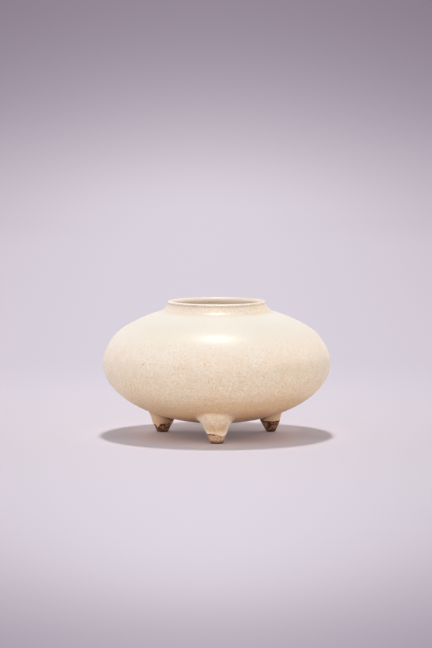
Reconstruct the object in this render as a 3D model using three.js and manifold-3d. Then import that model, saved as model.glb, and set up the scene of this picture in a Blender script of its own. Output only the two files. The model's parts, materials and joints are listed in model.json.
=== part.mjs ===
// A tripod water pot in cream-glazed stoneware: a squat thrown pot with a low neck and a rolled lip,
// standing on three small cones of clay. Each cone is a separate piece that was stuck to the underside,
// and a coil of soft clay is worked round its root. Millimetres, +Z up. The origin is on the tabletop,
// below the middle of the pot, and the front foot points along -Y.

import * as THREE from "three";
import { mergeVertices } from "three/addons/utils/BufferGeometryUtils.js";
import Module from "manifold-3d";

const wasm = await Module();
wasm.setup();

// The body: two half spheroids that meet at the girth, the lower one a little deeper.
const GIRTH_RADIUS = 60;
const BELLY_DEPTH = 31.9; // girth down to the underside
const SHOULDER_HEIGHT = 31.2; // girth up to where the shoulder would close
const STANDING_CLEARANCE = 7; // tabletop to the underside
const GIRTH_WALL = 3.4;
const FLOOR_WALL = 4.4; // at the middle of the underside
const SHOULDER_WALL = 2.6;

// The neck and its rolled lip.
const NECK_RADIUS = 25.3; // outside, at the narrowest place, just under the lip
const NECK_FLARE = 5.3; // how far outside the neck's radius it springs from the shoulder
const NECK_RISE = 4.9; // from there up to the lip
const NECK_SPREAD = 1.8; // how far outside the neck's radius its curve turns
const NECK_WALL = 1.8;
const LIP_WIDTH = 2.2;
const LIP_THICKNESS = 1.1;
const LIP_OVERHANG = 0.4;

// The feet. Each was pinched by hand, so the tips differ.
const FOOT_INSET = 26.5; // girth inwards to the middle of a tip
const FOOT_SPLAY = THREE.MathUtils.degToRad(5.5);
const FOOT_ROUNDING = 0.8; // height of the worn edge of a tip
const FOOT_EDGE = 0.5; // how far that edge turns in
const FOOT_GAUGE_HEIGHT = 7.3; // height at which all three cones measure the same
const FOOT_GAUGE_RADIUS = 5.65;
const STEM_RADIUS = 3.9; // the foot's core inside the coil
const FEET = [
  { name: "front", azimuth: -90, tipRadius: 3.4 },
  { name: "rear_right", azimuth: 30, tipRadius: 2.3 },
  { name: "rear_left", azimuth: 150, tipRadius: 2.7 },
];

// The luting coil: a hollow fillet that runs down the cone and out along the belly.
const COIL_DROP = 5;
const COIL_REACH = 3.5;
const COIL_RIM = 0.4; // thickness left at its outer edge

const SEAM_GAP = 0.3; // between pieces that are stuck together

// Fineness of the faceted surfaces: facets round a piece, and steps along each stretch of an outline.
const POT_TURNS = 64;
const FOOT_TURNS = 24;
const OUTSIDE_STEPS = { underside: 11, shoulder: 7, neck: 4, lip: 6 };
const INSIDE_STEPS = { underside: 7, shoulder: 5, neck: 3 };
const FOOT_EDGE_STEPS = 3;
const COIL_STEPS = 5;

const girthHeight = STANDING_CLEARANCE + BELLY_DEPTH;
const footCircleRadius = GIRTH_RADIUS - FOOT_INSET;

const glaze = new THREE.MeshStandardMaterial({ color: 0xead9c0, roughness: 0.32, metalness: 0 });
const clay = new THREE.MeshStandardMaterial({ color: 0xa9754f, roughness: 0.9, metalness: 0 });

function mesh(name, geometry, material) {
  const made = new THREE.Mesh(geometry, material);
  made.name = name;
  return made;
}

// Turns an outline of (radius, height) points about the upright axis.
function turned(outline) {
  return new THREE.LatheGeometry(outline, POT_TURNS).rotateX(Math.PI / 2);
}

function solidOf(geometry) {
  const bare = geometry.clone();
  bare.deleteAttribute("normal");
  bare.deleteAttribute("uv");
  const merged = mergeVertices(bare, 1e-4);
  const corners = merged.index.array;
  const triangles = [];
  for (let i = 0; i < corners.length; i += 3) {
    const [a, b, c] = corners.slice(i, i + 3);
    if (a !== b && b !== c && c !== a) triangles.push(a, b, c);
  }
  return new wasm.Manifold(
    new wasm.Mesh({
      numProp: 3,
      vertProperties: merged.attributes.position.array,
      triVerts: new Uint32Array(triangles),
    }),
  );
}

function geometryOf(solid) {
  const { vertProperties, triVerts } = solid.getMesh();
  const geometry = new THREE.BufferGeometry();
  geometry.setAttribute("position", new THREE.BufferAttribute(vertProperties, 3));
  geometry.setIndex(new THREE.BufferAttribute(triVerts, 1));
  geometry.computeVertexNormals();
  return geometry;
}

// A closed solid through rings of points. Rings go upwards, and run anticlockwise seen from above.
function loft(rings) {
  const turns = rings[0].length;
  const middle = (ring) =>
    ring.reduce((sum, p) => sum.add(p), new THREE.Vector3()).divideScalar(turns);
  const points = [...rings.flat(), middle(rings[0]), middle(rings.at(-1))];
  const bottomMiddle = points.length - 2;
  const topMiddle = points.length - 1;
  const topRing = (rings.length - 1) * turns;
  const triangles = [];
  for (let i = 0; i < turns; i += 1) {
    const next = (i + 1) % turns;
    triangles.push(bottomMiddle, next, i);
    triangles.push(topMiddle, topRing + i, topRing + next);
    for (let low = 0; low < topRing; low += turns) {
      const high = low + turns;
      triangles.push(low + i, low + next, high + next);
      triangles.push(low + i, high + next, high + i);
    }
  }
  return new THREE.BufferGeometry().setFromPoints(points).setIndex(triangles);
}

// The hollow curve that leaves the shoulder, running on at its slope, and turns up to `top`.
function neckCurve(shoulder, top) {
  const { point, slope } = shoulder;
  const turnRadius = top.x + NECK_SPREAD;
  const turn = new THREE.Vector2(turnRadius, point.y + slope * (point.x - turnRadius));
  return new THREE.QuadraticBezierCurve(point, turn, top);
}

// A point of a spheroid at a given radius above its girth, and how steeply it climbs inwards there.
function shoulderAt(radius, wide, high) {
  const angle = Math.acos(radius / wide);
  return {
    angle,
    point: new THREE.Vector2(radius, girthHeight + high * Math.sin(angle)),
    slope: (high / wide) / Math.tan(angle),
  };
}

function spheroidArc(wide, high, from, to) {
  return new THREE.EllipseCurve(0, girthHeight, wide, high, from, to, to < from);
}

// Points along several curves that follow one another, without the doubled ends.
function along(...stretches) {
  return stretches.flatMap(([curve, steps], i) => curve.getPoints(steps).slice(i ? 1 : 0));
}

// The thrown pot: belly, shoulder, neck and lip in one wall.
function thrownPot() {
  const quarter = Math.PI / 2;
  const outer = shoulderAt(NECK_RADIUS + NECK_FLARE, GIRTH_RADIUS, SHOULDER_HEIGHT);
  const waist = new THREE.Vector2(NECK_RADIUS, outer.point.y + NECK_RISE);

  const lipHalf = LIP_WIDTH / 2;
  const lipMiddle = NECK_RADIUS + LIP_OVERHANG - lipHalf;
  const lipStart = -Math.acos((NECK_RADIUS - lipMiddle) / lipHalf);
  const lipHeight = waist.y - (LIP_THICKNESS / 2) * Math.sin(lipStart);
  const lip = new THREE.EllipseCurve(
    lipMiddle, lipHeight, lipHalf, LIP_THICKNESS / 2, lipStart, Math.PI,
  );

  const innerWide = GIRTH_RADIUS - GIRTH_WALL;
  const innerHigh = SHOULDER_HEIGHT - SHOULDER_WALL;
  const innerDeep = BELLY_DEPTH - FLOOR_WALL;
  const mouthRadius = NECK_RADIUS - NECK_WALL;
  const inner = shoulderAt(mouthRadius + NECK_FLARE, innerWide, innerHigh);
  const mouth = new THREE.Vector2(mouthRadius, waist.y);
  const innerNeck = neckCurve(inner, mouth);

  const outline = [
    ...along(
      [spheroidArc(GIRTH_RADIUS, BELLY_DEPTH, -quarter, 0), OUTSIDE_STEPS.underside],
      [spheroidArc(GIRTH_RADIUS, SHOULDER_HEIGHT, 0, outer.angle), OUTSIDE_STEPS.shoulder],
      [neckCurve(outer, waist), OUTSIDE_STEPS.neck],
      [lip, OUTSIDE_STEPS.lip],
    ),
    ...innerNeck.getPoints(INSIDE_STEPS.neck).reverse(),
    ...along(
      [spheroidArc(innerWide, innerHigh, inner.angle, 0), INSIDE_STEPS.shoulder],
      [spheroidArc(innerWide, innerDeep, 0, -quarter), INSIDE_STEPS.underside],
    ).slice(1),
  ];
  outline[0].x = 0;
  outline.at(-1).x = 0;
  return turned(outline);
}

// The belly with the seam gap round it, which the feet and the coils are cut back to.
function bellyClearance() {
  const quarter = Math.PI / 2;
  const arc = spheroidArc(GIRTH_RADIUS + SEAM_GAP, BELLY_DEPTH + SEAM_GAP, -quarter, quarter);
  const outline = arc.getPoints(3 * OUTSIDE_STEPS.underside);
  outline[0].x = 0;
  outline.at(-1).x = 0;
  return solidOf(turned(outline));
}

// A foot is described as if it stood on the +X side. Its rings are circles whose middle leans inwards.
function footShape({ tipRadius }) {
  const taper = (FOOT_GAUGE_RADIUS - tipRadius) / FOOT_GAUGE_HEIGHT;
  const middleAt = (height) => footCircleRadius - height * Math.tan(FOOT_SPLAY);
  const coneRadius = (height) => tipRadius + height * taper;
  const place = (angle, radius, height) =>
    new THREE.Vector3(middleAt(height) + radius * Math.cos(angle), radius * Math.sin(angle), height);
  const bellyHeight = (p) =>
    girthHeight - BELLY_DEPTH * Math.sqrt(1 - (p.x ** 2 + p.y ** 2) / GIRTH_RADIUS ** 2);

  // The height at which the cone runs into the belly, found by closing in on it.
  const rootHeight = (angle) => {
    let height = STANDING_CLEARANCE;
    for (let pass = 0; pass < 12; pass += 1) {
      height = bellyHeight(place(angle, coneRadius(height), height));
    }
    return height;
  };

  const angles = Array.from({ length: FOOT_TURNS }, (_, i) => (i / FOOT_TURNS) * 2 * Math.PI);
  const ring = (radiusAt, heightAt) => angles.map((a) => place(a, radiusAt(a), heightAt(a)));
  const seat = (angle) => rootHeight(angle) - COIL_DROP;
  const insideWall = (angle) => rootHeight(angle) + FLOOR_WALL;
  return { angles, place, ring, coneRadius, bellyHeight, rootHeight, seat, insideWall };
}

// The cone of clay, stepped in to a stem where the coil goes round it.
function footGeometry(foot, clearance) {
  const { ring, coneRadius, seat, insideWall } = footShape(foot);
  const tipEdge = Array.from({ length: FOOT_EDGE_STEPS + 1 }, (_, i) => {
    const turn = (i / FOOT_EDGE_STEPS) * (Math.PI / 2);
    const height = FOOT_ROUNDING * (1 - Math.cos(turn));
    return ring(() => coneRadius(height) - FOOT_EDGE * (1 - Math.sin(turn)), () => height);
  });
  const whole = loft([
    ...tipEdge,
    ring((a) => coneRadius(seat(a)), seat),
    ring(() => STEM_RADIUS, seat),
    ring(() => STEM_RADIUS, insideWall),
  ]);
  return geometryOf(solidOf(whole).subtract(clearance));
}

// The coil: it sits on the foot's step and sweeps out to the belly.
function coilGeometry(foot, clearance) {
  const { angles, place, ring, coneRadius, bellyHeight, rootHeight, seat, insideWall } =
    footShape(foot);
  const sweeps = angles.map((angle) => {
    const root = rootHeight(angle);
    const low = seat(angle) + SEAM_GAP;
    const start = place(angle, coneRadius(low), low);
    const corner = place(angle, coneRadius(root), root);
    const end = place(angle, coneRadius(root) + COIL_REACH, root);
    corner.z = bellyHeight(corner) - SEAM_GAP - COIL_RIM;
    end.z = bellyHeight(end) - SEAM_GAP - COIL_RIM;
    return new THREE.QuadraticBezierCurve3(start, corner, end).getPoints(COIL_STEPS);
  });
  const rims = Array.from({ length: COIL_STEPS + 1 }, (_, i) => sweeps.map((points) => points[i]));
  const intoWall = (p) => new THREE.Vector3(p.x, p.y, bellyHeight(p) + FLOOR_WALL / 2);
  const whole = loft([
    ring(() => STEM_RADIUS / 2, (a) => seat(a) + SEAM_GAP),
    ...rims,
    rims.at(-1).map(intoWall),
  ]);
  const stemRoom = loft([
    ring(() => STEM_RADIUS + SEAM_GAP, (a) => seat(a) - COIL_DROP),
    ring(() => STEM_RADIUS + SEAM_GAP, insideWall),
  ]);
  return geometryOf(solidOf(whole).subtract(solidOf(stemRoom)).subtract(clearance));
}

const pot = new THREE.Group();
pot.add(mesh("thrown_pot", thrownPot(), glaze));

const clearance = bellyClearance();
for (const foot of FEET) {
  const leg = new THREE.Group();
  leg.rotation.z = THREE.MathUtils.degToRad(foot.azimuth);
  leg.add(mesh(`foot_${foot.name}`, footGeometry(foot, clearance), clay));
  leg.add(mesh(`luting_coil_${foot.name}`, coilGeometry(foot, clearance), glaze));
  pot.add(leg);
}

export default pot;
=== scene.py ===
# %% [markdown]
# A small water pot of cream-glazed stoneware: a squat belly thrown on the wheel, a very low neck with a
# rolled lip, and three cone feet that stop the pot from sitting in its own puddle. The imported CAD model
# gives the size and place of every piece, so it is loaded first and never moved. Each piece below is
# then made again with a finer surface, in the same place.

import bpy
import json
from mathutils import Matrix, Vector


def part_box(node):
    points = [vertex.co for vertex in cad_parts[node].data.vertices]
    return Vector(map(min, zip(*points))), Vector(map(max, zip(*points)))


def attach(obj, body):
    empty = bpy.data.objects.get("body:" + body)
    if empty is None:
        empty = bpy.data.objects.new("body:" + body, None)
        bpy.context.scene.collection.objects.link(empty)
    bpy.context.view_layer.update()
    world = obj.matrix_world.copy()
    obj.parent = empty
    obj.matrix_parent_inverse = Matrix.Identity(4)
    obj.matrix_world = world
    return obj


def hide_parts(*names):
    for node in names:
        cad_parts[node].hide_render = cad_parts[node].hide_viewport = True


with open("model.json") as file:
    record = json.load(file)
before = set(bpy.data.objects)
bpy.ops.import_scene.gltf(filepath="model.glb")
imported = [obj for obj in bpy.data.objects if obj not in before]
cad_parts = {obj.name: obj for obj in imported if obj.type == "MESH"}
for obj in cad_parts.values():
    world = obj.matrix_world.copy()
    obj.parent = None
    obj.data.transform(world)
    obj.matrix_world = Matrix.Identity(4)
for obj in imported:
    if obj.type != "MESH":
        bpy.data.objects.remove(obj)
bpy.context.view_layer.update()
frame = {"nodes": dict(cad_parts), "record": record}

# %% [markdown]
# The camera comes next, because every later choice is judged through it. The pot is seen from one and a
# half metres away and from a little above, through a long lens, so it shows hardly any perspective.

# %% Camera
import json
import math

import bpy
import numpy as np
from mathutils import noise

MM = 0.001  # the pot's lengths are written in millimetres, and Blender's are in metres

CAMERA_PLACE = (-0.35 * MM, -1556.8 * MM, 193.8 * MM)
CAMERA_PITCH = math.radians(4.942)  # how far it looks down
CAMERA_LENS, FILM_WIDTH = 164.28, 36
NEAREST_SEEN, FURTHEST_SEEN = 0.05, 20  # in metres

camera = bpy.data.objects.new("camera", bpy.data.cameras.new("camera"))
bpy.context.scene.collection.objects.link(camera)
camera.location = CAMERA_PLACE
camera.rotation_euler = (math.pi / 2 - CAMERA_PITCH, 0, 0)
camera.data.lens = CAMERA_LENS
camera.data.sensor_width = FILM_WIDTH
camera.data.clip_start = NEAREST_SEEN
camera.data.clip_end = FURTHEST_SEEN
bpy.context.scene.camera = camera
bpy.context.scene.view_settings.view_transform = "Standard"
print("camera looks down", round(math.degrees(CAMERA_PITCH), 2), "degrees")

# %% [markdown]
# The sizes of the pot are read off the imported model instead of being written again, so that the skin
# made here can't drift away from it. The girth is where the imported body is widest.

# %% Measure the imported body
body_low, body_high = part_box("thrown_pot")
body_points = np.array([v.co for v in frame["nodes"]["thrown_pot"].data.vertices]) / MM
body_radii = np.hypot(body_points[:, 0], body_points[:, 1])

GIRTH_RADIUS = body_high.x / MM
GIRTH_HEIGHT = float(body_points[body_radii > GIRTH_RADIUS - 0.01][:, 2].mean())
TOP = body_high.z / MM
BELLY_DEPTH = GIRTH_HEIGHT - body_low.z / MM
print("girth", round(GIRTH_RADIUS, 2), "mm out, at", round(GIRTH_HEIGHT, 2), "mm; top at", round(TOP, 2))

# %% [markdown]
# A thrown pot is a turned form, so its skin is one outline carried round the axis. A Screw modifier
# could turn it, but rings of points made in code can also carry the marks of the fingers. The outline
# needs three things: half spheroids below and above the girth, a hollow curve for the neck, and the
# slope at which a neck leaves a shoulder.

# %% Curves for the outline
def half_spheroid(wide, high, start, stop, steps):
    """Points (radius, height) of an ellipse about the girth, between two angles."""
    angle = np.linspace(start, stop, steps + 1)
    return np.stack([wide * np.cos(angle), GIRTH_HEIGHT + high * np.sin(angle)], axis=1)


def hollow_curve(start, bend, stop, steps):
    """A curve from start to stop that is drawn towards bend."""
    t = np.linspace(0, 1, steps + 1)[:, None]
    return (1 - t) ** 2 * start + 2 * t * (1 - t) * bend + t**2 * stop


def spring_of_neck(radius, wide, high):
    """The angle, point and slope at which a neck leaves a shoulder."""
    angle = math.acos(radius / wide)
    point = np.array([radius, GIRTH_HEIGHT + high * math.sin(angle)])
    return angle, point, (high / wide) / math.tan(angle)


underside = half_spheroid(GIRTH_RADIUS, BELLY_DEPTH, -math.pi / 2, 0, 110)
print("the underside is", round(BELLY_DEPTH, 2), "mm deep, in", len(underside), "points")

# %% [markdown]
# Above the girth the shoulder is slightly fuller than a spheroid where it turns over. The neck springs
# from it in a hollow curve, and a rolled lip ends it and turns down into the mouth. Fine steps make the
# outline smooth, without a modifier.

# %% The outside of the outline
SHOULDER_HEIGHT = 31.2  # girth up to where the shoulder would close
FULLNESS, FULLEST_AT, FULLNESS_REACH = 0.57, 54.9, 4.5
NECK_RADIUS = 25.32
NECK_SPRING = NECK_RADIUS + 4.0  # where the neck leaves the shoulder
NECK_SPREAD = 2.3  # how far out the bend of the neck's curve lies
LIP_WIDTH, LIP_THICKNESS, LIP_OVERHANG = 2.2, 1.07, 0.37
LIP_INWARD, LIP_INSIDE = 1.5, 2.2  # how far in and how far down the lip rolls into the mouth
LIP_STEPS = 40


def neck_between(point, slope, waist, spread):
    """The neck's curve, which leaves the shoulder along its slope and ends at the waist under the lip."""
    bend_radius = waist[0] + spread
    bend = np.array([bend_radius, point[1] + slope * (point[0] - bend_radius)])
    return hollow_curve(point, bend, waist, 48)


angle, spring, slope = spring_of_neck(NECK_SPRING, GIRTH_RADIUS, SHOULDER_HEIGHT)
shoulder = half_spheroid(GIRTH_RADIUS, SHOULDER_HEIGHT, 0, angle, 64)[1:]
outward = (shoulder - [0, GIRTH_HEIGHT]) / [GIRTH_RADIUS**2, SHOULDER_HEIGHT**2]
outward /= np.linalg.norm(outward, axis=1)[:, None]
fullness = FULLNESS * np.exp(-(((shoulder[:, 1] - FULLEST_AT) / FULLNESS_REACH) ** 2))
shoulder = shoulder + outward * fullness[:, None]

lip_half = LIP_WIDTH / 2
lip_middle = NECK_RADIUS + LIP_OVERHANG - lip_half
lip_start = -math.acos((NECK_RADIUS - lip_middle) / lip_half)
lip_height = TOP - LIP_THICKNESS / 2
waist = np.array([NECK_RADIUS, lip_height + LIP_THICKNESS / 2 * math.sin(lip_start)])
neck = neck_between(spring, slope, waist, NECK_SPREAD)[1:]
roll = np.linspace(lip_start, math.pi, LIP_STEPS + 1)[1:]
drop = np.where(roll < math.pi / 2, LIP_THICKNESS / 2, LIP_INSIDE)
reach = np.where(roll < math.pi / 2, lip_half, LIP_INWARD)
lip = np.stack([lip_middle + reach * np.cos(roll), TOP - drop + drop * np.sin(roll)], axis=1)

below_lip = np.concatenate([underside, shoulder, neck])
outside = np.concatenate([below_lip, lip])
print(len(outside), "points outside; the waist under the lip is at", round(waist[1], 2), "mm")

# %% [markdown]
# The inside follows at the thickness of the wall: thinnest at the shoulder and thickest in the floor,
# as a thrown wall is. Its neck stands more upright than the outside.

# %% The inside of the outline
GIRTH_WALL, FLOOR_WALL, SHOULDER_WALL = 3.4, 4.4, 2.6
INNER_SPRING = 5.29  # how far outside the mouth the inner neck leaves the shoulder
INNER_NECK_SPREAD = 0.6

mouth = lip[-1]
inner_girth = GIRTH_RADIUS - GIRTH_WALL
inner_high = SHOULDER_HEIGHT - SHOULDER_WALL
inner_angle, inner_spring, inner_slope = spring_of_neck(mouth[0] + INNER_SPRING, inner_girth, inner_high)
inner_neck = neck_between(inner_spring, inner_slope, mouth, INNER_NECK_SPREAD)[::-1][1:]
inner_shoulder = half_spheroid(inner_girth, inner_high, inner_angle, 0, 36)[1:]
inner_floor = half_spheroid(inner_girth, BELLY_DEPTH - FLOOR_WALL, 0, -math.pi / 2, 44)[1:]

inside = np.concatenate([inner_neck, inner_shoulder, inner_floor])
print(len(inside), "points inside; the mouth is", round(2 * mouth[0], 2), "mm wide")

# %% [markdown]
# A surface made of rings needs only one helper: it joins each ring of points to the next with
# four-sided faces and closes both ends. All the pieces of this pot are such stacks of rings. A second
# helper keeps a number for each point, which a material can read later.

# %% Join rings into a closed skin
def skin(name, rings, poles=(False, False)):
    """A closed mesh through rings of points. An end either meets in one point or is capped flat."""
    rings = np.asarray(rings, float)
    first, last = rings[0].mean(axis=0), rings[-1].mean(axis=0)
    rings = rings[1:] if poles[0] else rings
    rings = rings[:-1] if poles[1] else rings
    rows, turns, _ = rings.shape
    corner = np.arange(rows * turns).reshape(rows, turns)
    onward = np.roll(corner, -1, axis=1)
    quads = np.stack([corner[:-1], onward[:-1], onward[1:], corner[1:]], axis=-1).reshape(-1, 4)
    points = np.concatenate([rings.reshape(-1, 3), [first, last]]) * MM
    low, high = rows * turns, rows * turns + 1
    fans = [(low, onward[0][i], corner[0][i]) for i in range(turns)]
    fans += [(high, corner[-1][i], onward[-1][i]) for i in range(turns)]
    mesh = bpy.data.meshes.new(name)
    mesh.from_pydata(points.tolist(), [], quads.tolist() + fans)
    mesh.shade_smooth()
    piece = bpy.data.objects.new(name, mesh)
    bpy.context.scene.collection.objects.link(piece)
    print(name, "has", len(points), "points")
    return piece


def mark(piece, name, rings):
    """Keeps one number for each point of the rings. The two ends take the mean of their ring's."""
    values = np.concatenate([np.ravel(rings), [np.mean(rings[0]), np.mean(rings[-1])]])
    attribute = piece.data.attributes.new(name, "FLOAT", "POINT")
    attribute.data.foreach_set("value", values.astype(np.float32))
    print(piece.name, "keeps", name, "up to", round(float(values.max()), 2))


print("a skin's rings are in millimetres, and its mesh in metres")

# %% [markdown]
# Fingers leave shallow rings in the clay as the pot turns. Outside they were smoothed with a rib, so
# only a slow swell of a few hundredths of a millimetre is left, with fine lines round the neck, and
# these bend the highlights a little. Inside the rings are deeper. A real throwing ring is a spiral, so
# its phase runs on by one ring per turn.

# %% The skin of the pot
POT_TURNS = 384
OVAL = 0.0012  # how far the pot is out of round, as a share of its radius
BELLY_RINGS, NECK_RINGS, INSIDE_RINGS = (13.0, 0.02), (0.95, 0.03), (4.2, 0.10)  # spacing and depth
LIP_RINGS_INSIDE = 11  # the last rings of the lip, which face the mouth
around = np.arange(POT_TURNS) / POT_TURNS * 2 * math.pi


def throwing_rings(outline, spacing, depth, fade):
    """How far the surface stands out at each step of the outline and each turn about the axis."""
    steps = np.diff(outline, axis=0)
    travel = np.concatenate([[0], np.cumsum(np.hypot(steps[:, 0], steps[:, 1]))])
    phase = 2 * math.pi * travel[:, None] / spacing
    swell = np.sin(phase + around) + 0.4 * np.sin(1.7 * phase + 1.3 - around)
    return depth * fade[:, None] * swell


def turned(outline, swell):
    """Rings of points about the axis, moved along the outline's own outward direction by the swell."""
    along = np.gradient(outline, axis=0)
    away = np.stack([along[:, 1], -along[:, 0]], axis=1)
    away /= np.linalg.norm(away, axis=1)[:, None]
    radius = outline[:, :1] + swell * away[:, :1]
    height = outline[:, 1:] + swell * away[:, 1:]
    oval = 1 + OVAL * np.cos(2 * around + 0.7)[None]
    return np.stack([radius * np.cos(around) * oval, radius * np.sin(around) * oval, height], axis=-1)


def ramp_up(value, start, stop):
    """0 before start and 1 after stop, turning smoothly between them."""
    t = np.clip((value - start) / (stop - start), 0, 1)
    return t * t * (3 - 2 * t)


belly_fade = ramp_up(outside[:, 1], 20, 30) * (1 - ramp_up(outside[:, 1], 70, 70.4))
neck_fade = ramp_up(outside[:, 1], 67.2, 68.2) * (1 - ramp_up(outside[:, 1], 69.8, 70.2))
inside_fade = ramp_up(inside[:, 0], 2, 10) * (1 - ramp_up(inside[:, 1], 66, 70))
outside_swell = throwing_rings(outside, *BELLY_RINGS, belly_fade)
outside_swell = outside_swell + throwing_rings(outside, *NECK_RINGS, neck_fade)
inside_swell = throwing_rings(inside, *INSIDE_RINGS, inside_fade)
pot_rings = np.concatenate([turned(outside, outside_swell), turned(inside, inside_swell)])
pot = skin("thrown_pot_skin", pot_rings, poles=(True, True))
is_inside = np.arange(len(pot_rings)) >= len(outside) - LIP_RINGS_INSIDE
mark(pot, "inside", np.repeat(is_inside[1:-1], POT_TURNS).reshape(-1, POT_TURNS).astype(float))

# %% [markdown]
# The feet are cones of clay, pressed on wet. A coil of soft clay is worked into the corner, so each
# foot runs out into the belly in a flare. They could be sculpted, but a formula for the radius keeps
# each foot on its mount. The flare is written by the gap left between a point and the belly above it:
# the narrower the gap, the wider the foot. No two feet made by hand are alike, so each has its own
# measures.

# %% The shape of a foot
# azimuth: where it stands round the axis; start and taper: its radius at the floor, and how fast it
# grows; flat: the radius of its worn tip; splay and aside: how far it leans, in degrees; flare and
# reach: how wide the coil runs out, and over what gap; swell: amount, height and reach of a bulge
FEET = {
    "front": dict(
        azimuth=-90, start=3.53, taper=0.214, flat=2.9, splay=4.0, aside=-2.0,
        flare=3.87, reach=2.65, swell=(0.55, 8.2, 2.4),
    ),
    "rear_right": dict(
        azimuth=30, start=2.29, taper=0.381, flat=2.1, splay=3.4, aside=0.1,
        flare=3.6, reach=1.73, swell=(0.60, 5.2, 3.8),
    ),
    "rear_left": dict(
        azimuth=150, start=2.94, taper=0.337, flat=2.6, splay=1.1, aside=1.6,
        flare=4.9, reach=2.27, swell=(0.45, 5.6, 4.2),
    ),
}
TIP_ROUNDING = 0.8
SMEAR, SMEAR_REACH = 0.5, 0.2  # the last thin spread of clay, right under the belly


def foot_circle(name):
    """Distance from the pot's axis to the middle of a tip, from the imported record."""
    mount = next(m for m in frame["record"]["mounts"] if m["name"] == name + "_foot_tip")
    return math.hypot(*mount["pos_m"][:2]) / MM


def pinching(name, height, angle):
    """Unevenness left by the fingers, fading where the foot runs into the belly."""
    lean = len(name)
    uneven = 0.10 * np.cos(2 * angle + lean) + 0.06 * np.cos(3 * angle + 2.2 * lean)
    return uneven * np.exp(-((height - 4) / 4) ** 2)


def foot_point(name, height, angle, gap):
    """A point at a height and an angle round the foot, if the belly is that gap above it."""
    foot = FEET[name]
    spread = foot["flare"] * np.exp(-gap / foot["reach"]) + SMEAR * np.exp(-gap / SMEAR_REACH)
    amount, middle, reach = foot["swell"]
    swell = amount * np.exp(-(((height - middle) / reach) ** 2))
    radius = foot["start"] + foot["taper"] * height + swell + spread
    full = foot["start"] + foot["taper"] * TIP_ROUNDING
    edge = np.clip(height / TIP_ROUNDING, 0, 1)
    worn = foot["flat"] + (full - foot["flat"]) * np.sqrt(1 - (1 - edge) ** 2)
    radius = np.where(height < TIP_ROUNDING, worn, radius)
    radius = radius + pinching(name, height, angle)
    middle = foot_circle(name) - height * math.tan(math.radians(foot["splay"]))
    aside = height * math.tan(math.radians(foot["aside"]))
    return middle + radius * np.cos(angle), aside + radius * np.sin(angle)


print("feet stand", round(foot_circle("front"), 2), "mm from the axis")

# %% [markdown]
# A foot is worked out as if it stood on the +X side, and swung to its own side at the end. The belly
# above it is curved, so a point's height, place and gap depend on each other. They are found by going
# round in a loop, each time from the last values, until they no longer change.

# %% Points on a foot
FOOT_TURNS = 128
ROUNDS = 40
FIRST_GUESS = 12.0  # roughly how high the belly is above the feet
foot_around = np.arange(FOOT_TURNS) / FOOT_TURNS * 2 * math.pi


def belly_height(x, y):
    """Height of the pot's underside above a point of the floor."""
    return np.interp(np.hypot(x, y), underside[:, 0], underside[:, 1])


def by_gap(name, angle, gap):
    """Points at a given gap under the belly."""
    height = np.full(np.broadcast(angle, gap).shape, FIRST_GUESS) - gap
    for _ in range(ROUNDS):
        x, y = foot_point(name, height, angle, gap)
        height = belly_height(x, y) - gap
    return np.stack([x, y, height], axis=-1)


def by_height(name, angle, height):
    """Points at a given height of the cone."""
    gap = FIRST_GUESS - height
    for _ in range(ROUNDS):
        x, y = foot_point(name, height, angle, gap)
        gap = belly_height(x, y) - height
    return np.stack([x, y, height], axis=-1)


def swing(points, name):
    """Turns points from the +X side to the foot's own side."""
    turn = math.radians(FEET[name]["azimuth"])
    c, s = math.cos(turn), math.sin(turn)
    x, y = points[..., 0], points[..., 1]
    return np.stack([c * x - s * y, s * x + c * y, points[..., 2]], axis=-1)


def towards_middle(ring, share, lift):
    """The ring drawn in towards its own middle and lifted."""
    moved = ring + (ring.mean(axis=0) - ring) * share
    moved[:, 2] += lift
    return moved


print("over the feet the belly is", round(float(belly_height(foot_circle("front"), 0)), 2), "mm up")

# %% [markdown]
# Near the tip the glaze stops short in an uneven, rolled edge, because the foot was wiped before
# firing. Below the edge the bare clay lies a little deeper. Both the step and the colour have to follow
# the same line, so each point of a foot keeps its distance to that line as an attribute.

# %% The edge of the glaze on each foot
# height and wave: where the edge lies, and how uneven it is; hangs: places where it lies higher or
# lower; thick: how far its roll stands out; extra: a place where it stands out more. Such a place is
# an amount, an angle round the foot and a reach, both in degrees
GLAZE_EDGE = {
    "front": dict(
        height=5.0, wave=0.28, hangs=[(-0.9, 45, 28)], thick=0.25, extra=(0.45, 80, 32),
    ),
    "rear_right": dict(
        height=6.1, wave=0.20, hangs=[(0.5, 170, 40)], thick=0.15, extra=(0.0, 0, 30),
    ),
    "rear_left": dict(
        height=4.9, wave=0.28, hangs=[(-2.1, 90, 15), (-0.7, 50, 18)], thick=0.22, extra=(0.25, 90, 14),
    ),
}
EDGE_RIPPLES = (2, 3, 5, 8, 13)  # how many waves each ripple of the edge has round the foot
ROLL_REACH = 1.6  # how far up the roll thins out


def bump_round(angle, middle, reach):
    """1 at an angle in degrees and 0 well away from it."""
    apart = (np.degrees(angle) - middle + 180) % 360 - 180
    return np.exp(-((apart / reach) ** 2))


def edge_height(name, angle):
    """Height of the glaze's edge at an angle round the foot."""
    edge = GLAZE_EDGE[name]
    lean = len(name)
    wave = sum(np.cos(k * angle + k * k * lean) / math.sqrt(k) for k in EDGE_RIPPLES) / 2
    hanging = sum(amount * bump_round(angle, middle, reach) for amount, middle, reach in edge["hangs"])
    return edge["height"] + edge["wave"] * wave + hanging


def glaze_roll(name, angle, above):
    """How far the glaze stands out over the clay, for a distance above its edge."""
    edge = GLAZE_EDGE[name]
    amount, middle, reach = edge["extra"]
    thick = edge["thick"] + amount * bump_round(angle, middle, reach)
    return thick * ramp_up(above, -0.12, 0.28) * np.exp(-np.maximum(above, 0) / ROLL_REACH)


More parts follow.
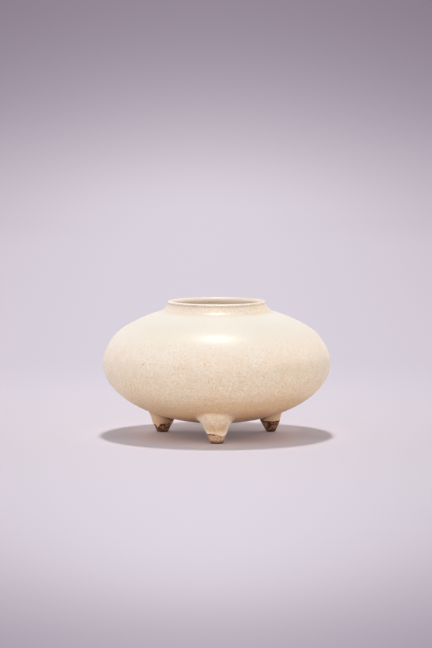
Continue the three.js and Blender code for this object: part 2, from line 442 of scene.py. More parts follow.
for name in FEET:
    print("glaze stops", round(float(edge_height(name, foot_around).mean()), 2), "mm up on foot_" + name)

# %% [markdown]
# The cone's rings lie close together at the glaze's edge, so that the step there is a real one. The
# cone goes on up inside the coil, as a stem. Its upper end is drawn in under the coil's surface by a
# tenth of a millimetre at once, so the two skins never lie in the same place.

# %% Make the three feet
COIL_FROM = 4.2  # gap at which the coil gives way to the bare cone
TUCK = (0.02, 0.12)  # the share by which the stem is drawn in at once, and how far it is lifted
STEM = (TUCK, (0.3, 1.2), (0.4, 3.4))


def grit(points, size):
    """Fine unevenness of fired clay, from -1 to 1."""
    flat = points.reshape(-1, 3) / size
    values = [noise.noise((x, y, z)) for x, y, z in flat.tolist()]
    return np.array(values).reshape(points.shape[:-1])


def foot_rings(name):
    """Rings from the tip up to where the coil begins, and their heights above the glaze's edge."""
    seam = by_gap(name, foot_around, COIL_FROM)[:, 2]
    edge = edge_height(name, foot_around)
    stretches = [
        (0 * edge, edge - 0.6, 30),
        (edge - 0.6, edge + 0.8, 20),
        (edge + 0.8, seam, 12),
    ]
    heights = [low + (high - low) * i / steps for low, high, steps in stretches for i in range(steps)]
    heights = np.array([*heights, seam])
    angle = np.broadcast_to(foot_around, heights.shape)
    points = by_height(name, angle, heights)
    above = heights - edge[None]
    rough = 0.05 * grit(points, 0.9) + 0.03 * grit(points + 40, 0.35)
    rise = glaze_roll(name, angle, above) * (1 - ramp_up(heights, seam - 1.5, seam))
    rise = rise + rough * (1 - ramp_up(above, -0.1, 0.2)) * ramp_up(heights, 0.0, 0.5)
    points[..., 0] += rise * np.cos(angle)
    points[..., 1] += rise * np.sin(angle)
    return points, above


feet = {}
for name in FEET:
    points, above = foot_rings(name)
    stem = [towards_middle(points[-1], share, lift) for share, lift in STEM]
    feet[name] = skin("foot_" + name + "_cone", swing(np.concatenate([points, stem]), name))
    mark(feet[name], "above_edge", np.concatenate([above, np.repeat(above[-1:], len(stem), axis=0)]))

# %% [markdown]
# The coil is soft clay smeared up the belly and down the cone with a finger. Its skin starts exactly
# where the cone's leaves off, sweeps out, and ends just under the belly's own surface, so no join
# shows: under the glaze there is none to see.

# %% Make the three luting coils
COIL_RINGS = 70
CROWDING = 2.2  # how much closer the rings lie towards the belly, where the sweep bends most
SUNK = 0.08  # how deep in the belly the sweep ends
INTO_WALL = 1.6  # how far its closed end goes on up into the wall

gaps = COIL_FROM * (1 - np.linspace(0, 1, COIL_RINGS)) ** CROWDING - SUNK
gaps[0] = COIL_FROM


def coil_rings(name):
    """Rings of a coil from its lower end, tucked under its own surface, up into the belly's wall."""
    sweep = by_gap(name, foot_around[None], gaps[:, None])
    foot_top = towards_middle(sweep[0], *TUCK)
    below = [towards_middle(foot_top, 0.6, 0.0), foot_top]
    over = towards_middle(sweep[-1], 0.0, INTO_WALL)
    return np.concatenate([below, sweep, [over, towards_middle(over, 0.7, 0.0)]])


coils = {name: skin("luting_coil_" + name + "_sweep", swing(coil_rings(name), name)) for name in FEET}

# %% [markdown]
# Shader maths reads best as ordinary sums. This class wraps one socket of a node tree, and each
# operator adds the Math node for it. The node method adds any other node: first its settings, and then
# the values or links of its sockets.

# %% Shader maths as Python
class Socket:
    def __init__(self, tree, socket=None):
        self.tree, self.socket = tree, socket

    def node(self, kind, settings=None, sockets=None, out=0):
        """Adds a node and gives back one of its outputs, where it has any."""
        made = self.tree.nodes.new(kind)
        for key, value in (settings or {}).items():
            if key == "stops":
                while len(made.color_ramp.elements) < len(value):
                    made.color_ramp.elements.new(0.5)
                for element, (place, colour) in zip(made.color_ramp.elements, value):
                    element.position, element.color = place, (*colour, 1)
            else:
                setattr(made, key, value)
        for key, value in (sockets or {}).items():
            if isinstance(value, Socket):
                self.tree.links.new(value.socket, made.inputs[key])
            else:
                made.inputs[key].default_value = value
        return Socket(self.tree, made.outputs[out] if made.outputs else None)

    def maths(self, operation, *others):
        values = dict(enumerate([self, *others]))
        return self.node("ShaderNodeMath", {"operation": operation}, values)

    def __add__(self, other):
        return self.maths("ADD", other)

    def __sub__(self, other):
        return self.maths("SUBTRACT", other)

    def __mul__(self, other):
        return self.maths("MULTIPLY", other)

    def __rsub__(self, other):
        return self.node("ShaderNodeMath", {"operation": "SUBTRACT"}, {0: other, 1: self})

    __radd__ = __add__
    __rmul__ = __mul__

    def rise(self, start, stop):
        """0 before start and 1 after stop, turning smoothly between them."""
        settings = {"interpolation_type": "SMOOTHSTEP"}
        return self.node("ShaderNodeMapRange", settings, {0: self, 1: start, 2: stop})

    def band(self, start, full, fading, gone):
        """1 from full to fading, and 0 before start and after gone."""
        return self.rise(start, full) * (1 - self.rise(fading, gone))

    def between(self, low, high):
        """Two colours mixed by this value."""
        settings = {"data_type": "RGBA"}
        low = low if isinstance(low, Socket) else (*low, 1)
        high = high if isinstance(high, Socket) else (*high, 1)
        return self.node("ShaderNodeMix", settings, {0: self, 6: low, 7: high}, out=2)


def begin(owner):
    """Empties the nodes of a material or a world, and gives a socket to start from."""
    owner.use_nodes = True
    owner.node_tree.nodes.clear()
    return Socket(owner.node_tree)


print("shader maths is ready")

# %% [markdown]
# All the materials read places in the object's own space. The pieces share that space, so a pattern
# runs on from one piece to the next without a seam, and no texture has to be unwrapped. Uneven things
# come from soft noise, and glaze and clay end in the same shader.

# %% Helpers for the materials
RIGHT, BACK, UP = 0, 1, 2  # the three axes
IOR = 1.5  # of glaze, which is a glass


def object_place(start):
    return start.node("ShaderNodeTexCoord", out=3)


def along(start, place, axis):
    """How far a place lies along an axis, in metres."""
    return start.node("ShaderNodeSeparateXYZ", {}, {0: place}, out=axis)


def in_millimetres(start, place, axes=(RIGHT, BACK, UP)):
    return [along(start, place, axis) * (1 / MM) for axis in axes]


def kept_number(start, name):
    """The number that mark() kept for each point."""
    settings = {"attribute_name": name, "attribute_type": "GEOMETRY"}
    return start.node("ShaderNodeAttribute", settings, out=2)


def clouds(start, place, size, detail=2, lean=0.0, rough=0.5):
    """Soft noise from 0 to 1 in patches of about size millimetres. Each lean gives other patches."""
    settings = {"noise_dimensions": "4D"}
    values = {"Vector": place, "W": lean, "Scale": 1 / (size * MM), "Detail": detail, "Roughness": rough}
    return start.node("ShaderNodeTexNoise", settings, values)


def fired_surface(start, colour, rough, relief, depth, strength):
    """The shader of glaze and clay, with a relief that is depth millimetres deep."""
    values = {"Height": relief, "Distance": depth * MM, "Strength": strength}
    bump = start.node("ShaderNodeBump", {}, values)
    values = {"Base Color": colour, "Roughness": rough, "Normal": bump, "IOR": IOR}
    shader = start.node("ShaderNodeBsdfPrincipled", {}, values)
    start.node("ShaderNodeOutputMaterial", {}, {0: shader})


print("materials measure the pot in millimetres, up to", round(TOP, 2))

# %% [markdown]
# The glaze is an ash-white stoneware glaze over an iron-bearing body. Where it lies thick, on top, it
# is a milky cream. It thins towards the underside, so the tan of the clay comes through, and the lowest
# stops are darker still as painted shade under the belly. A colour ramp over the height is the plainest
# way to write such a fall of colour, and its last stops make the tan neck and the pale lip, with a
# painted highlight where the neck leaves the shoulder and painted shade just under the lip.

# %% The glaze's colours by height
GLAZE_FROM = 6  # the height at which these colours start; they end at the top
# painted light in these stops: the lowest are partly painted shade under the belly, the pale stop at
# 0.905 is a painted highlight where the neck leaves the shoulder, and the dark stop at 0.978 is painted
# shade under the lip
GLAZE_STOPS_WITH_PAINTED_LIGHT = [
    (0.00, (0.24, 0.13, 0.065)),
    (0.04, (0.33, 0.185, 0.095)),
    (0.075, (0.52, 0.31, 0.165)),
    (0.12, (0.68, 0.42, 0.225)),
    (0.175, (0.80, 0.545, 0.305)),
    (0.23, (0.738, 0.538, 0.320)),
    (0.275, (0.765, 0.590, 0.397)),
    (0.39, (0.754, 0.620, 0.458)),
    (0.465, (0.752, 0.624, 0.470)),
    (0.54, (0.80, 0.672, 0.533)),
    (0.70, (0.794, 0.702, 0.598)),
    (0.84, (0.802, 0.740, 0.645)),
    (0.905, (0.84, 0.785, 0.69)),
    (0.923, (0.76, 0.665, 0.545)),
    (0.95, (0.74, 0.62, 0.505)),
    (0.978, (0.66, 0.555, 0.455)),
    (0.992, (0.86, 0.77, 0.67)),
]


def mixed_by_height(start, height, low, high, stops):
    """The colour of a ramp that runs from one height to another."""
    share = start.node("ShaderNodeMapRange", {}, {0: height, 1: low, 2: high})
    return start.node("ShaderNodeValToRGB", {"stops": stops}, {0: share})


print(len(GLAZE_STOPS_WITH_PAINTED_LIGHT), "colours from", GLAZE_FROM, "to", round(TOP, 2), "mm")

# %% [markdown]
# The glaze ran down the belly while it was molten, and pooled round the root of the front foot. There
# it lies thick again and is pale, partly as pooled glaze and partly as painted light on the root's
# forward face, and darker half way up. At the bottom the pale stops paint the highlight along the
# glaze's rolled edge. It is palest at the foot's flanks, most of all on the right.

# %% The pool of glaze round the front foot, with painted light
POOL_FROM, POOL_TO = 5, 17  # the heights between which these colours run
# the first stops paint the highlight along the glaze's rolled edge, and the top ones are pooled glaze
# with painted light on the root's forward face
POOL_STOPS_WITH_PAINTED_LIGHT = [
    (0.00, (0.97, 0.81, 0.61)),
    (0.08, (0.89, 0.70, 0.51)),
    (0.17, (0.76, 0.53, 0.32)),
    (0.25, (0.70, 0.485, 0.295)),
    (0.35, (0.675, 0.483, 0.310)),
    (0.43, (0.69, 0.52, 0.35)),
    (0.51, (0.82, 0.64, 0.45)),
    (0.60, (0.835, 0.66, 0.465)),
    (0.68, (0.87, 0.71, 0.53)),
    (0.78, (0.93, 0.78, 0.58)),
    (0.90, (0.97, 0.82, 0.57)),
]
POOL_TO_LEFT = 1.3  # how far the pool lies to the left of the foot's middle
POOL_FULL, POOL_GONE = 7.9, 10.9  # its reach from there
FLANK_PALE = (0.93, 0.81, 0.66)


def pool_and_painted_light_root(start, place, across, deep, height):
    """1 on the front foot and in a ring round its root, where the glaze has pooled and light is painted.
    """
    deep = deep + foot_circle("front")
    across = across + POOL_TO_LEFT
    apart = (across * across + deep * deep).maths("SQRT")
    wander = (clouds(start, place, 3, lean=14.0) - 0.5) * 1.6
    return (1 - (apart + wander).rise(POOL_FULL, POOL_GONE)) * (1 - height.rise(18, 22))


def pooled_colour_with_painted_light(start, place, across, height):
    """The pool's colour with its painted light, by height and paler at the foot's flanks."""
    wander = (clouds(start, place, 3.5, detail=3, lean=15.0) - 0.5) * 3
    colour = mixed_by_height(start, height + wander, POOL_FROM, POOL_TO, POOL_STOPS_WITH_PAINTED_LIGHT)
    half_width = height * 0.5 + 2.5
    aside = across.maths("ABSOLUTE") * half_width.maths("POWER", -1.0)
    flank = aside.rise(0.62, 0.95) * (across.rise(0.0, 4) * 0.3 + 0.6)
    return flank.between(colour, FLANK_PALE)


print("the pool reaches", POOL_GONE, "mm from", POOL_TO_LEFT, "mm left of the foot's middle")

# %% [markdown]
# On the rear feet the side that faces the pot's axis is painted darker and brown as shade, and more so
# on the left foot. Where the belly hangs over a foot, a dark crease of painted shade runs down between
# them.

# %% The glaze of the rear feet, with painted shade
# the darker colours below are painted shade: on the inner side, on the left foot, and in the crease
REAR_GLAZE, REAR_INNER_PAINTED_SHADE = (0.76, 0.51, 0.315), (0.46, 0.27, 0.15)
LEFT_FOOT_PAINTED_SHADE = (0.28, 0.138, 0.072)
CREASE_PAINTED_SHADE = (0.13, 0.06, 0.03)
CREASE_BEND = 0.085  # how fast the crease drops towards the pot's axis
REAR_ASIDE = foot_circle("rear_left") * math.cos(math.radians(30))


def rear_shade(start, across, deep, height, colour):
    """The colour at a place, changed where that place is on a rear foot: painted shade on its inner side
    and in the crease.
    """
    inner = REAR_ASIDE - across.maths("ABSOLUTE")
    on_foot = deep.rise(8, 10) * (1 - height.rise(8.5, 13.5)) * (1 - inner.rise(5, 8))
    # painted shade on the side that faces the pot's axis
    own = (inner.rise(-1.5, 5) * 0.5).between(REAR_GLAZE, REAR_INNER_PAINTED_SHADE)
    # more painted shade on the left foot's inner side
    left_foot_shade = (1 - across.rise(-5, 5)) * inner.rise(-4, 6)
    own = (left_foot_shade * 0.65).between(own, LEFT_FOOT_PAINTED_SHADE)
    colour = on_foot.between(colour, own)
    hanging = (inner + 1) * (inner + 1) * CREASE_BEND
    # painted shade in the crease under the belly's edge
    crease = (height + hanging).rise(8.6, 9.3) * inner.rise(-1.0, 2.0) * on_foot
    return (crease * 0.80).between(colour, CREASE_PAINTED_SHADE)


print("the rear feet stand", round(REAR_ASIDE, 2), "mm to the side")

# %% [markdown]
# Iron grains from the clay melt into the glaze and show as fine tan freckles. Modelling thousands of
# dots would be wasteful, so a Voronoi texture puts one in each of its cells, at its own place and with
# its own strength. Under the lip the glaze has drawn back in a few nicks. These are single spots, listed
# one by one.

# %% Freckles and nicks
FRECKLE_TAN = (0.46, 0.30, 0.19)
FRECKLES = (  # spacing, size, lean and strength
    (1.25, 0.34, 4.0, 0.55),
    (2.6, 0.50, 13.0, 0.75),
    (3.4, 0.72, 18.0, 0.62),
)
NICK_BROWN = (0.34, 0.21, 0.15)
NICKS = (  # angle from the front foot to the right, height, and size
    (-26.8, 70.5, 0.30),
    (-25.2, 70.55, 0.30),
    (-14.5, 70.45, 0.28),
    (43.6, 70.5, 0.26),
    (68.0, 70.5, 0.32),
)


def freckles(start, place, spacing, size, lean):
    """Small round dots, each at its own place in a cell of that spacing, and with its own strength."""
    settings = {"voronoi_dimensions": "4D", "feature": "F1"}
    values = {"Vector": place, "W": lean, "Scale": 1 / (spacing * MM)}
    apart = start.node("ShaderNodeTexVoronoi", settings, values)
    own = start.node("ShaderNodeTexVoronoi", settings, values, out=1)
    own = start.node("ShaderNodeSeparateColor", {}, {0: own})
    return (1 - apart.rise(0.5 * size / spacing, 1.1 * size / spacing)) * own.rise(0.15, 0.9)


def spot(start, place, angle, height, size):
    """1 within a small round spot of the outside."""
    radius = np.interp(height, below_lip[:, 1], below_lip[:, 0])
    turn = math.radians(angle)
    centre = (radius * math.sin(turn) * MM, -radius * math.cos(turn) * MM, height * MM)
    apart = start.node("ShaderNodeVectorMath", {"operation": "DISTANCE"}, {0: place, 1: centre}, out=1)
    return 1 - apart.rise(0.6 * size * MM, 1.3 * size * MM)


print(len(FRECKLES), "sizes of freckle and", len(NICKS), "nicks")

# %% [markdown]
# Now the outside's colours are laid over each other, from the fall of colour to single patches. That
# fall wanders up and down by some millimetres, as on any pot that was dipped by hand. The underside is
# paler at its two ends, and painted darker and brown in the middle, behind the front foot, as the shade
# under the belly's bottom edge.

# %% The glaze's colours by place
TIDE_WANDER = 14  # how far the fall of colour wanders, from its lowest to its highest
TIDE_SLANT = 0.055  # the milky glaze reaches lower on the left than on the right
ENDS_HIGHER = 3  # the underside's ends are coloured as if they lay this much higher
BESIDE_FOOT = (0.79, 0.60, 0.40)  # a greyer patch to the right of the front foot
# painted shade under the belly's bottom edge
UNDER_BELLY_PAINTED_SHADE = (0.30, 0.16, 0.09)
NECK_TAN = (0.77, 0.62, 0.42)  # the right of the neck


def layered_colour(start, place, across, deep, height):
    """The outside glaze's colour at a place, without its fine grain."""
    ends = across.maths("ABSOLUTE").rise(22, 30)
    drift = (clouds(start, place, 26, lean=1.0) - 0.5) * TIDE_WANDER - across * TIDE_SLANT
    drift = drift * height.band(8, 16, 54, 62) + ends * (1 - height.rise(14, 20)) * ENDS_HIGHER
    colour = mixed_by_height(start, height + drift, GLAZE_FROM, TOP, GLAZE_STOPS_WITH_PAINTED_LIGHT)
    beside = across.band(0.5, 4, 10, 16) * (1 - height.rise(19, 26)) * (1 - deep.rise(-20, -10))
    colour = (beside * 0.38).between(colour, BESIDE_FOOT)
    pool = pool_and_painted_light_root(start, place, across, deep, height)
    colour = pool.between(colour, pooled_colour_with_painted_light(start, place, across, height))
    # the underside's middle, behind the front foot, takes painted shade
    under = height.band(9, 11, 14, 20) * (1 - ends) * deep.rise(2, 9)
    colour = (under * 0.75).between(colour, UNDER_BELLY_PAINTED_SHADE)
    colour = rear_shade(start, across, deep, height, colour)
    neck_right = height.rise(65, 67) * across.rise(12, 22)
    return (neck_right * 0.45).between(colour, NECK_TAN)


print("the fall of colour wanders", TIDE_WANDER / 2, "mm up and down")

# %% [markdown]
# Close up, a stoneware glaze is never even. It has soft mottle where it lies thicker or thinner, a fine
# grain, and the freckles. All three are strongest below the girth and on the neck. Mottle and grain
# change each colour channel by its own share, because a thinner glaze loses blue before red.

# %% The outside colour of the glaze
MOTTLE_TINT = (-0.02, -0.10, -0.20)  # how far each channel falls where the glaze lies thinner
GRAIN_TINT = (0.82, 1.02, 1.34)  # how far each channel goes along with the grain


def scaled(start, tint, amount):
    return start.node("ShaderNodeVectorMath", {"operation": "SCALE"}, {0: tint, 3: amount})


def tinted(start, colour, grain, mottle):
    """The colour, with each channel raised or lowered by the grain and the mottle."""
    parts = {0: scaled(start, GRAIN_TINT, grain), 1: scaled(start, MOTTLE_TINT, mottle)}
    tint = start.node("ShaderNodeVectorMath", {"operation": "ADD"}, parts)
    parts = {0: colour, 1: tint, 2: colour}
    return start.node("ShaderNodeVectorMath", {"operation": "MULTIPLY_ADD"}, parts)


def cream_colour(start, place):
    """The outside glaze's colour at a place."""
    across, deep, height = in_millimetres(start, place)
    colour = layered_colour(start, place, across, deep, height)
    low = 1 - height.rise(42, 60)
    deeper = 1 - height.rise(30, 39)
    neck = height.rise(65, 67)
    mottle = clouds(start, place, 7, detail=3, lean=2.0).rise(0.40, 0.66) * (low * 0.3 + 0.1)
    fine = clouds(start, place, 2.6, detail=2, lean=16.0) - 0.5
    mottle = mottle + fine * (low * 1.7 + deeper * 0.7 + neck * 1.2 + 0.2)
    patches = clouds(start, place, 10, detail=3, lean=3.0).rise(0.28, 0.60)
    many = (low * 0.85 + 0.15) * patches + neck * across.rise(9, 16) * 0.5 + neck * 0.3
    grain = clouds(start, place, 0.8, detail=2, lean=12.0) - 0.5
    grain = grain * (many * 0.37 + low * 0.17 + deeper * 0.32 + neck * 0.46 + 0.08)
    colour = tinted(start, colour, grain, mottle)
    for spacing, size, lean, strength in FRECKLES:
        dots = freckles(start, place, spacing, size, lean)
        colour = (dots * many * strength).between(colour, FRECKLE_TAN)
    return colour


print("where the glaze lies thinnest, red, green and blue change by", MOTTLE_TINT)

# %% [markdown]
# The pot's own material adds the nicks, the glaze inside, painted lighter than the outside to stand in
# for light in the mouth, and a thin line of painted shade under the lip. A satin glaze is neither a
# mirror nor chalk, so its roughness lies a little above a third. It never goes under 0.3: below about
# 0.27 the renderer's denoiser takes a surface for a mirror, and where the roughness crosses that value
# the picture shows thin dark outlines.

# %% The cream glaze
# the inside glaze is painted lighter than the outside, as light in the mouth
INSIDE_GLAZE_PAINTED_LIGHTER = (0.94, 0.785, 0.655)
# painted shade in a thin line under the lip
UNDER_LIP_PAINTED_SHADE = (0.42, 0.29, 0.20)
SATIN, SATIN_PATCHES = 0.355, 0.08  # the glaze's roughness, and how much rougher it is in patches
NECK_SMOOTHER = 0.055


def glaze_material():
    material = bpy.data.materials.new("cream_glaze")
    start = begin(material)
    place = object_place(start)
    colour = cream_colour(start, place)
    for angle, height, size in NICKS:
        colour = (spot(start, place, angle, height, size) * 0.7).between(colour, NICK_BROWN)
    within = kept_number(start, "inside")
    # painted light inside the mouth
    colour = within.between(colour, INSIDE_GLAZE_PAINTED_LIGHTER)
    height, = in_millimetres(start, place, [UP])
    # painted shade under the lip's overhang
    under_lip_shade = height.band(69.7, 70.15, 70.4, 70.8) * (1 - within)
    colour = (under_lip_shade * 0.30).between(colour, UNDER_LIP_PAINTED_SHADE)
    rough = SATIN + clouds(start, place, 9, detail=3, lean=5.0) * SATIN_PATCHES
    rough = rough - height.rise(65.2, 66.2) * NECK_SMOOTHER
    relief = clouds(start, place, 1.6, detail=2, lean=6.0) + clouds(start, place, 6, lean=7.0) * 2.0
    fired_surface(start, colour, rough, relief, depth=0.02, strength=0.5)
    return material


cream_glaze = glaze_material()
print("glaze has", len(cream_glaze.node_tree.nodes), "nodes")

# %% [markdown]
# Below the glaze's edge the stoneware is bare. It is matt and gritty, and iron has burnt it: light
# orange on the front foot, nearly black brown on the rear ones. Right under the edge runs a thin dark
# line. The tip that the pot stands on is worn, and its lowest part is painted dark as the contact shade
# where it meets the floor.

# %% The colour of the bare clay
# light and dark: the two colours of the clay; burnt: the share of the dark one, 1 for nearly all;
# grain: the size of its patches; line: from where to where, across the pot, the dark line shows
CLAY = {
    "front": dict(
        light=(0.64, 0.405, 0.255), dark=(0.38, 0.17, 0.08), burnt=0.62, grain=1.6, line=(-5.2, -0.9),
    ),
    "rear_right": dict(
        light=(0.34, 0.145, 0.075), dark=(0.035, 0.013, 0.007), burnt=0.80, grain=1.3, line=(-99, 99),
    ),
    "rear_left": dict(
        light=(0.48, 0.22, 0.10), dark=(0.06, 0.024, 0.012), burnt=0.80, grain=1.1, line=(-99, -29.0),
    ),
}
LINE_BROWN = (0.07, 0.025, 0.012)
WORN_BROWN = (0.10, 0.04, 0.02)
# painted contact shade where the tip meets the floor
SOLE_PAINTED_CONTACT_SHADE = (0.03, 0.012, 0.007)


def bare_colour(start, place, above, clay):
    """The clay's colour at a place, as if the foot had no glaze."""
    mottle = clouds(start, place, clay["grain"], detail=4, lean=9.0, rough=0.65)
    dark_from = 0.61 - 0.2 * clay["burnt"]
    colour = mottle.rise(dark_from, dark_from + 0.10).between(clay["light"], clay["dark"])
    across, height = in_millimetres(start, place, [RIGHT, UP])
    left, right = clay["line"]
    line = above.band(-0.85, -0.30, -0.02, 0.12)
    line = line * across.band(left - 0.6, left, right - 0.6, right + 0.6)
    colour = (line * 0.9).between(colour, LINE_BROWN)
    wander = (clouds(start, place, 2, lean=17.0) - 0.5) * 0.8
    worn = 1 - (height + wander).rise(0.4, 2.4)
    colour = (worn * 0.85).between(colour, WORN_BROWN)
    # painted contact shade on the lowest part of the tip
    return (1 - height.rise(0.3, 0.9)).between(colour, SOLE_PAINTED_CONTACT_SHADE)


print("dark line from left to right:", {name: CLAY[name]["line"] for name in FEET})

# %% [markdown]
# A foot wears both finishes. They could be two materials, but the edge between them is finer than the
# mesh, so one material mixes them. The attribute that shaped the step now also divides the colours,
# with a little raggedness of its own.

# %% The feet's finish, part glazed and part bare
CLAY_ROUGH, GLAZE_SMOOTHER = 0.85, 0.55


def foot_material(name):
    material = bpy.data.materials.new("burnt_clay_" + name)
    start = begin(material)
    place = object_place(start)
    above = kept_number(start, "above_edge")
    ragged = (clouds(start, place, 0.5, lean=8.0) - 0.5) * 0.25
    glazed = (above + ragged).rise(-0.04, 0.10)
    bare = bare_colour(start, place, above, CLAY[name])
    colour = glazed.between(bare, cream_colour(start, place))
    rough = CLAY_ROUGH - glazed * GLAZE_SMOOTHER
    relief = clouds(start, place, 0.45, detail=3, lean=11.0) * (1 - glazed)
    fired_surface(start, colour, rough, relief, depth=0.12, strength=0.6)
    return material


foot_finish = {name: foot_material(name) for name in FEET}
print("foot finishes:", ", ".join(m.name for m in foot_finish.values()))

# %% [markdown]
# Now each piece gets its finish and takes its place: it hides the imported node that it stands for and
# moves with the one body of this part.

# %% Dress the pieces
def dress(piece, material, node):
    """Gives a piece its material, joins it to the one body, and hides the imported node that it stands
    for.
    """
    piece.data.materials.append(material)
    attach(piece, "root")
    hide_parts(node)


dress(pot, cream_glaze, "thrown_pot")
for name in FEET:
    dress(feet[name], foot_finish[name], "foot_" + name)
    dress(coils[name], cream_glaze, "luting_coil_" + name)

# %% [markdown]
# The pot stands on a pale lavender-grey sweep of paper: a floor that curves up into a wall, so no edge
# shows behind the object. It is made of rings about the pot's axis, so that it lies behind the pot from
# every side. From here on, lengths are in metres.

# %% Floor and sweep
WALL_FROM, WALL_BEND, WALL_TOP = 2.0, 1.2, 3.0  # where it starts, the bend's radius, and its height
bend_angles = np.linspace(0.1, math.pi / 2, 14)
SWEEP_OUTLINE = [(0.3, 0.0), (0.8, 0.0), (1.4, 0.0), (WALL_FROM, 0.0)]
SWEEP_OUTLINE += [
    (WALL_FROM + WALL_BEND * math.sin(a), WALL_BEND - WALL_BEND * math.cos(a)) for a in bend_angles
]
SWEEP_OUTLINE += [(WALL_FROM + WALL_BEND, WALL_TOP)]


def bowl(name, outline, turns=96, middle=False):
    """An open surface through rings about the axis, with a point in the middle if it is asked for."""
    around = np.arange(turns) / turns * 2 * math.pi
    points = [(r * math.cos(a), r * math.sin(a), z) for r, z in outline for a in around]
    faces = []
    for i in range(turns):
        j = (i + 1) % turns
        for row in range(0, (len(outline) - 1) * turns, turns):
            faces.append((row + j, row + i, row + turns + i, row + turns + j))
        if middle:
            faces.append((i, j, len(points)))
    if middle:
        points.append((0, 0, 0))
    mesh = bpy.data.meshes.new(name)
    mesh.from_pydata(points, [], faces)
    mesh.shade_smooth()
    made = bpy.data.objects.new(name, mesh)
    bpy.context.scene.collection.objects.link(made)
    return made


floor = bowl("floor", SWEEP_OUTLINE[:2], middle=True)
sweep = bowl("sweep", SWEEP_OUTLINE[1:])
sweep.visible_diffuse = False
sweep.visible_shadow = False
print("the sweep's wall stands", WALL_FROM + WALL_BEND, "m from the pot")

# %% [markdown]
# Light falls off slowly over the paper: up the wall, towards the sides, and towards the front edge.
# Lamps could do that, but they would light the pot too. So each fall is written as a share of the
# paper's lightness, and the three are multiplied. The lit part is narrow in front of the pot, widens
# behind it, and is narrower again low on the wall.

# %% How light the paper looks
WALL_FOOT_LIGHT, WALL_TOP_LIGHT = 0.707, 0.2727
WALL_REACH = 0.15  # how far up the wall most of that fall takes
LIT_WIDTH, LIT_SHIFT = 0.33, 0.03  # the lit part, and how far it lies to the left, in widths
WIDER_BEHIND, WIDER_FAR, NARROWER = 0.22, 0.08, 0.17
SIDE_LIGHT, SIDE_FALL = 0.65, 2.857  # what is left at the sides, and how soon it is reached
FRONT_LIGHT, FRONT_FALL, FRONT_POWER = 0.6, 176.0, 8.0  # the same, and how suddenly
FRONT_LIFT = 0.05  # how much lighter the paper is in front of the pot than under it


def falling(amount, least):
    """From 1, where the amount is 0, down to the least."""
    return (amount * -1.0).maths("EXPONENT") * (1 - least) + least


def paper_shade(start, place):
    """How light the paper looks at a place: the shares for the wall, the sides and the front."""
    x, y, z = [along(start, place, axis) for axis in (RIGHT, BACK, UP)]
    climb = ((z - 0.01).maths("MAXIMUM", 0.0) * (1 / WALL_REACH)).maths("POWER", 1.5)
    fall = WALL_FOOT_LIGHT - WALL_TOP_LIGHT
    wall = (climb * -1.0).maths("EXPONENT") * fall + WALL_TOP_LIGHT
    near, far = (y * -1.0).maths("MAXIMUM", 0.0), y.maths("MAXIMUM", 0.0)
    width = LIT_WIDTH + y.rise(-0.1, 0.4) * WIDER_BEHIND + far * WIDER_FAR
    width = width - near.rise(0.14, 0.5) * NARROWER
    width = width - y.rise(1.6, 2.3) * (1 - z.rise(0.12, 0.25)) * NARROWER
    aside = x * width.maths("POWER", -1.0) + LIT_SHIFT
    sides = falling(aside * aside * SIDE_FALL, SIDE_LIGHT)
    front = falling(near.maths("POWER", FRONT_POWER) * FRONT_FALL, FRONT_LIGHT)
    return wall, sides, front + near.rise(0.05, 0.2) * FRONT_LIFT


print("lightness", WALL_FOOT_LIGHT, "at the foot of the wall and", WALL_TOP_LIGHT, "at its top")

# %% [markdown]
# Near the pot the paper is lit like any surface and takes the shadow. Light and shade from the pot are
# also painted into its colour: it is painted lighter near the pot, warmer and darker under the front,
# and lighter under the back, and the shadow is painted a little darker at its two ends. Further off,
# what the camera sees is a written colour, which keeps the backdrop's slow change from light to dark.

# %% The paper
# painted light near the pot and under its back, and warm painted shade under its front
FLOOR_NEAR_PAINTED_LIGHT = (0.785, 0.740, 0.825)
FLOOR_FAR = (0.745, 0.685, 0.755)
FLOOR_UNDER_PAINTED_SHADE = (0.785, 0.69, 0.73)  # right under the front of the pot
FLOOR_BEHIND_PAINTED_LIGHT = (0.91, 0.85, 0.94)  # under its back
SHADOW_ENDS = 0.11  # how much darker the shadow's ends are
BLACK = (0.0, 0.0, 0.0)
PAPER_STOPS = [  # the paper's colour by its lightness
    (0.240, (0.240, 0.195, 0.250)),
    (0.305, (0.305, 0.254, 0.314)),
    (0.445, (0.445, 0.386, 0.462)),
    (0.571, (0.571, 0.509, 0.578)),
    (0.700, (0.700, 0.645, 0.720)),
    (0.800, (0.800, 0.742, 0.810)),
]
PAPER_MIRRORED = (0.92, 0.87, 0.93)  # what the glaze reflects of it, without the falls of light
CAMERA_RAY, GLOSSY_RAY = 0, 3  # outputs of the Light Path node


def lit_paper(start, place, away):
    """The paper's colour near the pot, with painted light and shade."""
    across = along(start, place, RIGHT).maths("ABSOLUTE")
    deep = along(start, place, BACK)
    # painted light near the pot, warm painted shade under its front, painted light under its back
    colour = away.rise(0.045, 0.085).between(FLOOR_NEAR_PAINTED_LIGHT, FLOOR_FAR)
    warm = (1 - away.rise(0.025, 0.055)) * (1 - deep.rise(0.005, 0.030))
    colour = warm.between(colour, FLOOR_UNDER_PAINTED_SHADE)
    behind = (1 - away.rise(0.028, 0.052)) * deep.rise(0.012, 0.024)
    colour = behind.between(colour, FLOOR_BEHIND_PAINTED_LIGHT)
    ends = across.rise(0.036, 0.050) * (1 - away.rise(0.059, 0.066)) * deep.rise(-0.026, -0.008)
    return (ends * SHADOW_ENDS).between(colour, BLACK)


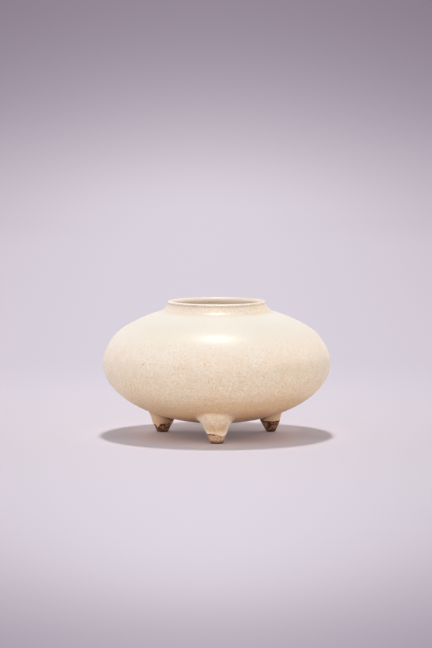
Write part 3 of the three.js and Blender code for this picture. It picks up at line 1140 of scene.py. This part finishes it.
def paper_material():
    material = bpy.data.materials.new("sweep_paper")
    start = begin(material)
    place = object_place(start)
    away = start.node("ShaderNodeVectorMath", {"operation": "LENGTH"}, {0: place}, out=1)
    wall, sides, front = paper_shade(start, place)
    colour = sides.between(BLACK, lit_paper(start, place, away))
    lit = start.node("ShaderNodeBsdfDiffuse", {}, {"Color": colour})
    shade = start.node("ShaderNodeValToRGB", {"stops": PAPER_STOPS}, {0: wall * sides * front})
    to_camera, mirrored = [start.node("ShaderNodeLightPath", out=i) for i in (CAMERA_RAY, GLOSSY_RAY)]
    seen = start.node("ShaderNodeEmission", {}, {"Color": mirrored.between(shade, PAPER_MIRRORED)})
    share = away.rise(0.16, 0.45) * to_camera.maths("MAXIMUM", mirrored)
    mixed = start.node("ShaderNodeMixShader", {}, {0: share, 1: lit, 2: seen})
    start.node("ShaderNodeOutputMaterial", {}, {0: mixed})
    return material


paper = paper_material()
for backdrop in (floor, sweep):
    backdrop.data.materials.append(paper)
print("paper has", len(paper.node_tree.nodes), "nodes")

# %% [markdown]
# One small soft lamp hangs almost overhead, a little behind the pot, and is longer from front to back.
# It gives the crisp oval shadow and the highlight on the shoulder. Its energy is worked out from how
# bright a white floor should look under it.

# %% Lamp
LAMP_WIDTH, LAMP_DEPTH = 0.13, 0.30
LAMP_HEIGHT = 1.6
LAMP_BACK = 0.06
LAMP_SHARE = 0.455  # of the light that falls on the floor

lamp = bpy.data.objects.new("overhead_lamp", bpy.data.lights.new("overhead_lamp", "AREA"))
bpy.context.scene.collection.objects.link(lamp)
lamp.data.shape = "ELLIPSE"
lamp.data.size, lamp.data.size_y = LAMP_WIDTH, LAMP_DEPTH
lamp.location = (0, LAMP_BACK, LAMP_HEIGHT)
lamp.rotation_euler = (-math.atan2(LAMP_BACK, LAMP_HEIGHT), 0, 0)
lamp_distance = math.hypot(LAMP_BACK, LAMP_HEIGHT)
on_floor = LAMP_SHARE * math.pi  # what a white floor needs to look that bright
lamp.data.energy = on_floor * math.pi * lamp_distance**2 / (LAMP_HEIGHT / lamp_distance)
print("lamp energy", round(lamp.data.energy, 2), "W")

# %% [markdown]
# The world fills in the rest, as a white room does: least from straight above, more from the walls,
# and most from low down. The front is lighter than the sides, and so is the back.

# %% World
CEILING = 0.36
WALLS, WALLS_BACK = 0.75, 0.7  # from every side, and how much more from the back
LOW, LOW_FRONT, LOW_BACK = 1.80, 1.4, 0.8  # near the horizon: also how much more from the front
WHITE = (1.0, 1.0, 1.0, 1.0)

world = bpy.data.worlds.new("room")
bpy.context.scene.world = world
start = begin(world)
direction = start.node("ShaderNodeTexCoord", out=0)
level = 1 - along(start, direction, UP).maths("MAXIMUM", 0.0)  # 1 at the horizon and 0 overhead
towards_back = along(start, direction, BACK)
front = (towards_back * -1.0).maths("MAXIMUM", 0.0).maths("POWER", 2.0)
back = towards_back.maths("MAXIMUM", 0.0).maths("POWER", 2.0)
low = level.maths("POWER", 6.0) * (LOW + front * LOW_FRONT + back * LOW_BACK)
strength = level.maths("POWER", 2.0) * (WALLS + back * WALLS_BACK) + low + CEILING
room = start.node("ShaderNodeBackground", {}, {0: WHITE, 1: strength})
start.node("ShaderNodeOutputWorld", {}, {0: room})
print("light from the side:", round(CEILING + WALLS + LOW, 2), "and from overhead:", CEILING)
